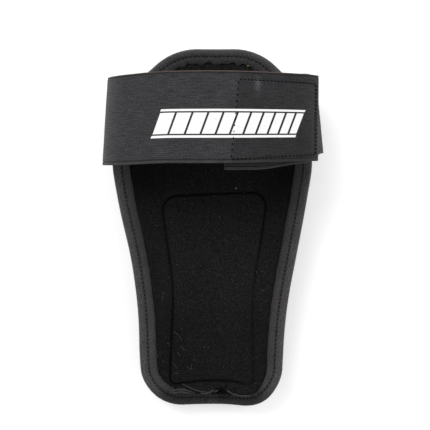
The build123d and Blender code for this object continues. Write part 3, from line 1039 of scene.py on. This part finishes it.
def elastic_depths(across, along, pinch):
    """Depths of the elastic's two faces under its path: ribs, rims and small unevenness."""
    low_gap, high_gap = across - STRAP_LOW, STRAP_HIGH - across
    edge = np.minimum(low_gap, high_gap)
    ribs = 0.10 * np.cos(2 * np.pi * low_gap / RIB_PITCH) * smooth(edge, 1.6, 2.4)
    rim = 0.55 * (1 - np.sqrt(1 - (1 - np.clip(edge / 0.7, 0, 1)) ** 2))
    selvedge = 0.24 * bump(low_gap, 2.3, 0.35) + 0.24 * bump(high_gap, 1.35, 0.35)
    gentle = 0.10 * wander(along + 0 * across, across + 0 * along, [38, 25, 16], 31)
    return ribs + rim + selvedge + gentle + pinch, STRAP_THICK - ribs - rim + gentle


def strap_piece(name, path, first=0.0, sign=1, pinch=None, tone=None, cut_end=0.0):
    """A stretch of the elastic.  first and sign carry the weave on from the stretch before."""
    across = width_samples(STRAP_LOW, STRAP_HIGH)[None, :]
    along = path.length[:, None]
    woven = first + sign * along
    outer, inner = elastic_depths(across, woven, pinch(along, across) if pinch else 0.0)
    uv = np.dstack(np.broadcast_arrays(woven, across))
    low_gap, high_gap = across - STRAP_LOW, STRAP_HIGH - across
    shade = 1 - 0.62 * bump(high_gap, 1.35, 0.5) - 0.7 * bump(low_gap, 2.2, 0.5)
    shade = shade + 0.25 * bump(low_gap, 1.0, 0.7)
    shade = shade * (tone(along, across) if tone else np.ones(outer.shape))
    # rim marks where the painted warm highlight lies: along the high rim, and across the cut end.
    rim = smooth(-high_gap, -0.6, -0.25) + 0 * along
    rim = np.maximum(rim, cut_end * smooth(along, path.end - 0.9, path.end - 0.2))
    return slab(name, path.place(along, across, outer), path.place(along, across, inner),
                elastic, uv, tone=shade, rim=rim)


def patch(name, path, spans, widths, depths, material, seed):
    """A hook or loop patch with rounded rims, on one face of the strap."""
    keep = (path.length >= spans[0]) & (path.length <= spans[1])
    along = path.length[keep][:, None]
    across = np.linspace(*widths, 110)[None, :]
    edge = np.minimum(across - widths[0], widths[1] - across)
    end = np.minimum(along - spans[0], spans[1] - along)
    rim = 0.35 * (1 - smooth(np.minimum(edge, end + 0.2), 0, 0.9))
    fuzz = 0.05 * wander(along + 0 * across, across + 0 * along, [2.1, 3.3], seed)
    outer, inner = depths[0] + rim + fuzz, depths[1] - rim + fuzz
    return slab(name, path.place(along, across, outer), path.place(along, across, inner), material)


# ---- the sewn rectangle over the hook patch: its left row slants ----
BOX_LEFT_LOW, BOX_LEFT_HIGH = front_at(12.2), front_at(17.2)
BOX_RIGHT = front.end - 4.6
BOX_LOW, BOX_HIGH = STRAP_LOW + 4.3, STRAP_HIGH - 5.6
BOX_HIGH_RIGHT = STRAP_HIGH - 6.4
HOOK_BOX = [(BOX_LEFT_LOW, BOX_LOW - 1.9), (BOX_RIGHT, BOX_LOW + 0.2), (BOX_RIGHT, BOX_HIGH_RIGHT),
            (BOX_LEFT_HIGH, BOX_HIGH)]


def front_pinch(length, width):
    """The elastic is drawn in along the rectangle's four rows."""
    gaps = []
    corners = np.array(HOOK_BOX)
    for a, along in zip(corners, np.roll(corners, -1, axis=0) - corners):
        t = ((length - a[0]) * along[0] + (width - a[1]) * along[1]) / (along @ along)
        t = np.clip(t, 0, 1)
        gaps.append(np.hypot(length - a[0] - along[0] * t, width - a[1] - along[1] * t))
    return 0.34 * bump(np.minimum.reduce(gaps), 0, 0.9)


def front_tone(length, width):
    """The end is darker where the hook patch backs it, and darkest at its low corner."""
    start = BOX_LEFT_LOW + (BOX_LEFT_HIGH - BOX_LEFT_LOW) * (width - BOX_LOW) / (BOX_HIGH - BOX_LOW)
    lined = smooth(length, start - 0.5, start + 1.5)
    low_corner = smooth(length, front.end - 55, front.end - 5) * smooth(-width, -90, -52)
    rubbed = bump(length, front_at(29.5), 1.8) * bump(width, 99.5, 4.5)
    end_strip = smooth(length, front.end - 7, front.end - 4)
    return 1 - 0.35 * lined - 0.2 * low_corner - 0.1 * end_strip + 1.3 * rubbed


def tab_tone(length, width):
    """Painted shade where it lies under the strap, and painted shade lines at the edges of its layers."""
    layer_edge_shade = sum(bump(width - STRAP_LOW, place, 0.3) for place in (1.0, 2.0))
    shaded = smooth(length, 6, 16) * (0.3 - 0.2 * smooth(length, 36, 50))
    return 1 - shaded - 0.7 * smooth(length, 25, 50) * layer_edge_shade


back_strap = strap_piece("strap_round_back", back, sign=-1)
settle(back_strap, "elastic", "strap_back", fold=LEFT_FOLD)
front_strap = strap_piece("strap_over_front", front, pinch=front_pinch, tone=front_tone, cut_end=0.7)
settle(front_strap, "elastic", "strap_front", "strap_hook_end", fold=PEEL_FOLD)
tab_strap = strap_piece("strap_under_tab", tab, -back.end, -1, tone=tab_tone)
settle(tab_strap, "elastic", "strap_loop_tab", fold=TAB_FOLD)

# ---- the hook patch, its box of stitches and one more row at the cut end ----
hook_rows = front.box(HOOK_BOX, 0.14, 41, pitches=(2.7, 2.4, 2.5, 4.0))
end_row = [(BOX_RIGHT + 1.3, BOX_LOW + 0.2), (BOX_RIGHT + 1.3, BOX_HIGH_RIGHT)]
hook_rows.append(front.row(*end_row, 0.02, pitch=2.6, seed=49))
hook_stitches = stitches("hook_patch_stitches", hook_rows, dark_thread)
settle(hook_stitches, "thread", "hook_patch_thread", fold=PEEL_FOLD)
hook_patch = patch("hook_patch_face", front, (front_at(12.0), front.end - 3.0),
                   (STRAP_LOW + 3, STRAP_HIGH - 3), (STRAP_THICK - 0.15, STRAP_THICK + HOOK_THICK),
                   hook_face, 51)
settle(hook_patch, "hook_tape", "hook_patch", fold=PEEL_FOLD)

# ---- the loop patch, its box of stitches and two more rows at the tab's fold ----
arched = tab.rows[:, 1] > right_z
arch_start = float(np.interp(-70.0, -tab.rows[arched, 0], tab.length[arched]))
loop_patch = patch("loop_patch_face", tab, (arch_start + 4, tab.end - 1.0), (STRAP_LOW + 2.6, STRAP_HIGH - 2),
                   (-LOOP_THICK, 0.15), loop_face, 52)
settle(loop_patch, "loop_pile", "loop_patch", fold=TAB_FOLD)
tab_rows = tab.box(rectangle(arch_start + 7, tab.end - 3, 3.5), STRAP_THICK + 0.05, 61, side=-1)
for length in (arch_start - 3.0, arch_start - 3.0 + 1.2):
    fold_row = [(length, STRAP_LOW + 3.5), (length, STRAP_HIGH - 3.5)]
    tab_rows.append(tab.row(*fold_row, 0.02, pitch=2.6, seed=66))
tab_stitches = stitches("loop_patch_stitches", tab_rows, dark_thread)
settle(tab_stitches, "thread", "loop_patch_thread", body="loop_tab")

# ---- a crossed box of stitches on each side of the back ----
for side, name in ((-1, "left"), (1, "right")):
    corners = rectangle(*sorted((back_at(side * 33.0), back_at(side * 53.0))), 3.3)
    rows = back.box(corners, 0.02, 71 + side)
    rows.append(back.row(corners[0], corners[2], 0.02, seed=75 + side))
    box = stitches(f"strap_box_stitches_{name}", rows, dark_thread)
    settle(box, "thread", f"strap_box_stitch_{name}")


# ---------------- the printed mark
MARK_LEFT, MARK_RIGHT = -40.5, 61.5
MARK_LOW, MARK_HIGH = 64.5, 83.2
BAR_SLANT = 7.0
BAR_GAP = 1.5


def print_bar(start, end, low_edge, high_edge, grid):
    """A slanted bar of ink that follows the strap: its two faces, and its place on the cloth."""
    t, v = np.meshgrid(np.linspace(0, 1, grid[0]), np.linspace(0, 1, grid[1]), indexing="ij")
    width = low_edge + (high_edge - low_edge) * v
    slant = BAR_SLANT * (width - MARK_LOW) / (MARK_HIGH - MARK_LOW)
    length = np.interp(start + (end - start) * t + slant, front.rows[:, 0], front.length)
    return front.place(length, width, -0.17), front.place(length, width, 0.12), np.dstack([length, width])


def make_mark():
    """A row of slanted bars that get narrower, between two thin strips."""
    right = MARK_RIGHT - BAR_SLANT
    widths = np.linspace(11.5, 5.5, 11)
    widths = widths * ((right - MARK_LEFT - 10 * BAR_GAP) / widths.sum())
    starts = MARK_LEFT + np.concatenate([[0], np.cumsum(widths + BAR_GAP)[:-1]])
    bars = [(x, x + w, MARK_LOW + 2.6, MARK_HIGH - 2.4, (14, 40)) for x, w in zip(starts, widths)]
    bars.append((MARK_LEFT - 0.3, right + 0.3, MARK_HIGH - 1.4, MARK_HIGH, (140, 8)))
    bars.append((MARK_LEFT - 0.3, right + 0.3, MARK_LOW, MARK_LOW + 1.6, (140, 8)))
    vertices, faces, uvs = [], [], []
    for bar in bars:
        top, bottom, uv = print_bar(*bar)
        faces += slab_faces(*bar[-1], sum(map(len, vertices)))
        vertices += [top.reshape(-1, 3), bottom.reshape(-1, 3)]
        uvs += [uv.reshape(-1, 2)] * 2
    return add_mesh("printed_mark", np.vstack(vertices), faces, white_ink, np.vstack(uvs))


settle(make_mark(), "elastic", fold=PEEL_FOLD)


def make_backing():
    """The patch that the strap is sewn to, a little wider than the strap."""
    low_edge, high_edge = STRAP_LOW - 2, STRAP_HIGH + 2
    y = np.linspace(low_edge, high_edge, 60)
    x, y = plan_grid(y, np.linspace(-1, 1, 90), 10.6)
    edge = np.minimum(y - low_edge, high_edge - y)
    outer = np.dstack([x, y, drop(x, 8.5 - 0.5 * (1 - smooth(edge, 0, 1.2)))])
    inner = np.dstack([x, y, drop(x, COVER_OUTSIDE - 0.05)])
    return slab("strap_backing_patch", outer, inner, cover_cloth)


backing = make_backing()
settle(backing, "cover_cloth", "strap_reinforcement")


def make_quilting():
    """A row of stitches down each valley, as far as the pad's edge."""
    rows = []
    for k, share in enumerate((-0.68, -0.32, 0.32, 0.68)):
        y = np.linspace(RIB_ENDS[0] + 1, RIB_ENDS[1] - 1, 200)
        x = share * rib_field(y)
        keep = np.abs(x) < half_width(y, 13.0)
        x, y = x[keep], y[keep]
        line = np.column_stack([x, y, drop(x, COVER_OUTSIDE + 0.15)])
        up = np.column_stack([x, np.zeros(len(x)), line[:, 2] - AXIS_Z])
        rows.append(stitch_row(line, up / np.linalg.norm(up, axis=1)[:, None], seed=81 + k))
    return stitches("rib_valley_stitches", rows, seam_thread)


settle(make_quilting(), "thread", "rib_quilting_thread")


# ---------------- lint and loose ends
def fibre(points, radius, sides=5):
    """A thin hair through points, as vertices and faces."""
    line = np.array(points)
    vertices = []
    for i, point in enumerate(line):
        tangent = line[min(i + 1, len(line) - 1)] - line[max(i - 1, 0)]
        tangent /= np.linalg.norm(tangent)
        side = np.cross(tangent, (0.1, 0.2, 1.0))
        side /= np.linalg.norm(side)
        up = np.cross(side, tangent)
        thin = 0.5 if i in (0, len(line) - 1) else 1.0
        vertices += ring(point, radius * thin, side, up, sides)
    return vertices, tube_faces(len(line), sides)


def on_pad(x, y, lift):
    return x, y, float(drop(x, 0)) + lift


def curl(x, y, length, heading, lift, seed, bend=0.5):
    """Points of a hair that starts at x, y and wanders, just over the lining."""
    draw = np.random.default_rng(seed)
    points = [on_pad(x, y, lift)]
    for _ in range(6):
        heading += draw.normal(0, bend)
        x += length / 6 * math.cos(heading)
        y += length / 6 * math.sin(heading)
        points.append(on_pad(x, y, lift + draw.uniform(0, 0.3)))
    return points


def dust():
    """Pale fibres caught in the nap: long straight ones near one side, and short curled ones all over."""
    rows = []
    for k in range(20):
        spot = (random.uniform(-37, -14), random.uniform(-106, -54))
        heading = random.choice([-0.8, -0.8, -0.5, 1.1]) + random.normal(0, 0.2)
        rows.append(fibre(curl(*spot, random.uniform(3.0, 7.0), heading, 1.2, 60 + k, 0.12), 0.042))
    for k in range(34):
        spot = (random.uniform(-42, 42), random.uniform(-112, 40))
        length = random.uniform(0.5, 2.4)
        rows.append(fibre(curl(*spot, length, random.uniform(0, 6.28), 1.0, 90 + k), 0.045))
    return rows


def hairs(name, colour, *curls):
    """A piece of hairs, each with its curl's values and then its radius."""
    rows = [fibre(curl(*values), radius) for *values, radius in curls]
    return stitches(name, rows, lint_material(name, colour))


lint = stitches("lint", dust(), lint_material("pale_lint", (0.19, 0.19, 0.14)))
specks = hairs("white_lint", (0.6, 0.58, 0.52), (16.0, -27.0, 1.5, 1.0, 1.15, 120, 0.2),
               (16.5, 29.0, 1.3, 0.4, 0.9, 121, 0.17), (-7.0, -88.0, 1.2, 2.0, 1.3, 122, 0.13),
               (4.0, 8.0, 1.1, 0.2, 1.0, 123, 0.12))
gold = hairs("gold_lint", (0.5, 0.3, 0.09), (24.6, 117.2, 1.3, 0.3, 1.3, 130, 0.24))

# A loose end lies over the wrist end's gathers, and cut yarns stick out of the frayed spot.
# Each point is a place and its height over the lining.
LOOSE_END = [(-22.5, -114.6, 1.5), (-18.0, -117.0, 1.8), (-13.0, -119.4, 2.1), (-8.0, -120.8, 2.2),
             (-3.5, -121.2, 2.1), (-0.8, -119.8, 1.7)]
loose_end = [fibre([on_pad(*point) for point in LOOSE_END], 0.15)]
loose_end = stitches("loose_thread_end", loose_end, lint_material("pale_thread", (0.12, 0.115, 0.10)))


def frayed_yarns():
    """Dark cut yarns round the frayed spot."""
    rows = []
    for k in range(40):
        spot = (HOLE[0] + random.normal(0, 4.6), HOLE[1] - 0.8 + random.normal(0, 1.9))
        heading = random.choice([0.0, math.pi]) + random.normal(0, 0.6)
        length, lift = random.uniform(2.5, 6.0), random.uniform(0.9, 2.0)
        rows.append(fibre(curl(*spot, length, heading, lift, 140 + k), 0.16))
    return rows


yarns = stitches("frayed_yarns", frayed_yarns(), dark_thread)

# Creases and torn edges in the tape's inner fold, on both sides of the frayed spot.
CREASES = [
    [(-33.0, -118.0, 1.0), (-29.5, -119.1, 1.75), (-25.6, -118.5, 1.8), (-19.9, -119.2, 1.75),
     (-15.7, -120.9, 1.2)],
    [(-32.0, -119.9, 1.0), (-28.8, -120.9, 1.85), (-24.2, -120.3, 1.9), (-20.0, -121.0, 1.85),
     (-15.9, -122.5, 1.3)],
    [(11.0, -121.0, 1.2), (15.5, -122.6, 1.6), (20.0, -123.5, 1.6), (26.0, -123.3, 1.6), (33.0, -122.2, 1.1)],
    [(-9.0, -121.9, 1.3), (-5.5, -122.4, 1.8), (-2.2, -121.8, 1.9), (0.2, -120.0, 1.9), (1.6, -119.6, 1.4)],
    [(0.9, -121.6, 1.5), (2.6, -120.4, 2.0), (4.2, -119.5, 1.5)],
    [(9.4, -119.6, 1.4), (11.4, -120.3, 1.9), (13.6, -121.9, 1.9), (15.2, -122.9, 1.4)],
]
creases = [fibre([on_pad(*point) for point in crease], 0.42, 8) for crease in CREASES]
creases = stitches("tape_creases", creases, tape)
shade = creases.data.attributes.new("tone", "FLOAT", "POINT")
shade.data.foreach_set("value", [0.95] * len(shade.data))
for piece, slot in ((lint, "lining_knit"), (specks, "lining_knit"), (gold, "lining_knit"),
                    (loose_end, "thread"), (yarns, "thread"), (creases, "binding_tape")):
    settle(piece, slot)


# ---------------- floor, light and camera, in metres
FLOOR_HALF_SIZE = 6.0
FLOOR_GAP = 0.0002


def add_floor():
    paper = Surface("studio_paper", grey(0.93), 0.9, 0.1)
    paper.fill(paper.main, {"Emission Color": grey(1), "Emission Strength": 0.3})
    grain = paper.noise(paper.place(), 300, 2)
    mesh = bpy.data.meshes.new("floor")
    corners = [(FLOOR_HALF_SIZE * x, FLOOR_HALF_SIZE * y, 0) for x, y in ((-1, -1), (1, -1), (1, 1), (-1, 1))]
    mesh.from_pydata(corners, [], [(0, 1, 2, 3)])
    mesh.materials.append(paper.finish(paper.ramp(grain, (0.3, grey(0.925)), (0.7, grey(0.94)))))
    floor = bpy.data.objects.new("floor", mesh)
    floor.location.z = -FLOOR_GAP
    bpy.context.scene.collection.objects.link(floor)


def add_area(name, location, target, size, power):
    light = bpy.data.lights.new(name, "AREA")
    light.size = size
    light.energy = power
    lamp = bpy.data.objects.new(name, light)
    lamp.location = location
    lamp.rotation_euler = (Vector(target) - Vector(location)).to_track_quat("-Z", "Y").to_euler()
    bpy.context.scene.collection.objects.link(lamp)


def add_light():
    world = bpy.data.worlds.new("studio")
    world.use_nodes = True
    background = world.node_tree.nodes["Background"]
    background.inputs["Color"].default_value = (1, 1, 1, 1)
    background.inputs["Strength"].default_value = 0.62
    bpy.context.scene.world = world
    add_area("key", (-0.6, 0.9, 1.1), (0, 0, 0), 0.8, 11.0)
    add_area("fill", (0.9, 0.2, 1.0), (0, 0, 0), 1.0, 4.0)


CAMERA = (1.6, 51.4, 653.7)      # millimetres
CAMERA_TILT = 0.065              # towards the wrist end, radians
LENS = 73.5
SENSOR = 36.0


def add_camera():
    camera = bpy.data.cameras.new("camera")
    camera.sensor_width = SENSOR
    camera.lens = LENS
    camera.clip_start = 0.01
    holder = bpy.data.objects.new("camera", camera)
    holder.location = Vector(CAMERA) * MM
    holder.rotation_euler = (-CAMERA_TILT, 0, 0)             # +Y is up in the picture
    bpy.context.scene.collection.objects.link(holder)
    bpy.context.scene.camera = holder


add_floor()
add_light()
add_camera()
bpy.context.scene.view_settings.view_transform = "Standard"
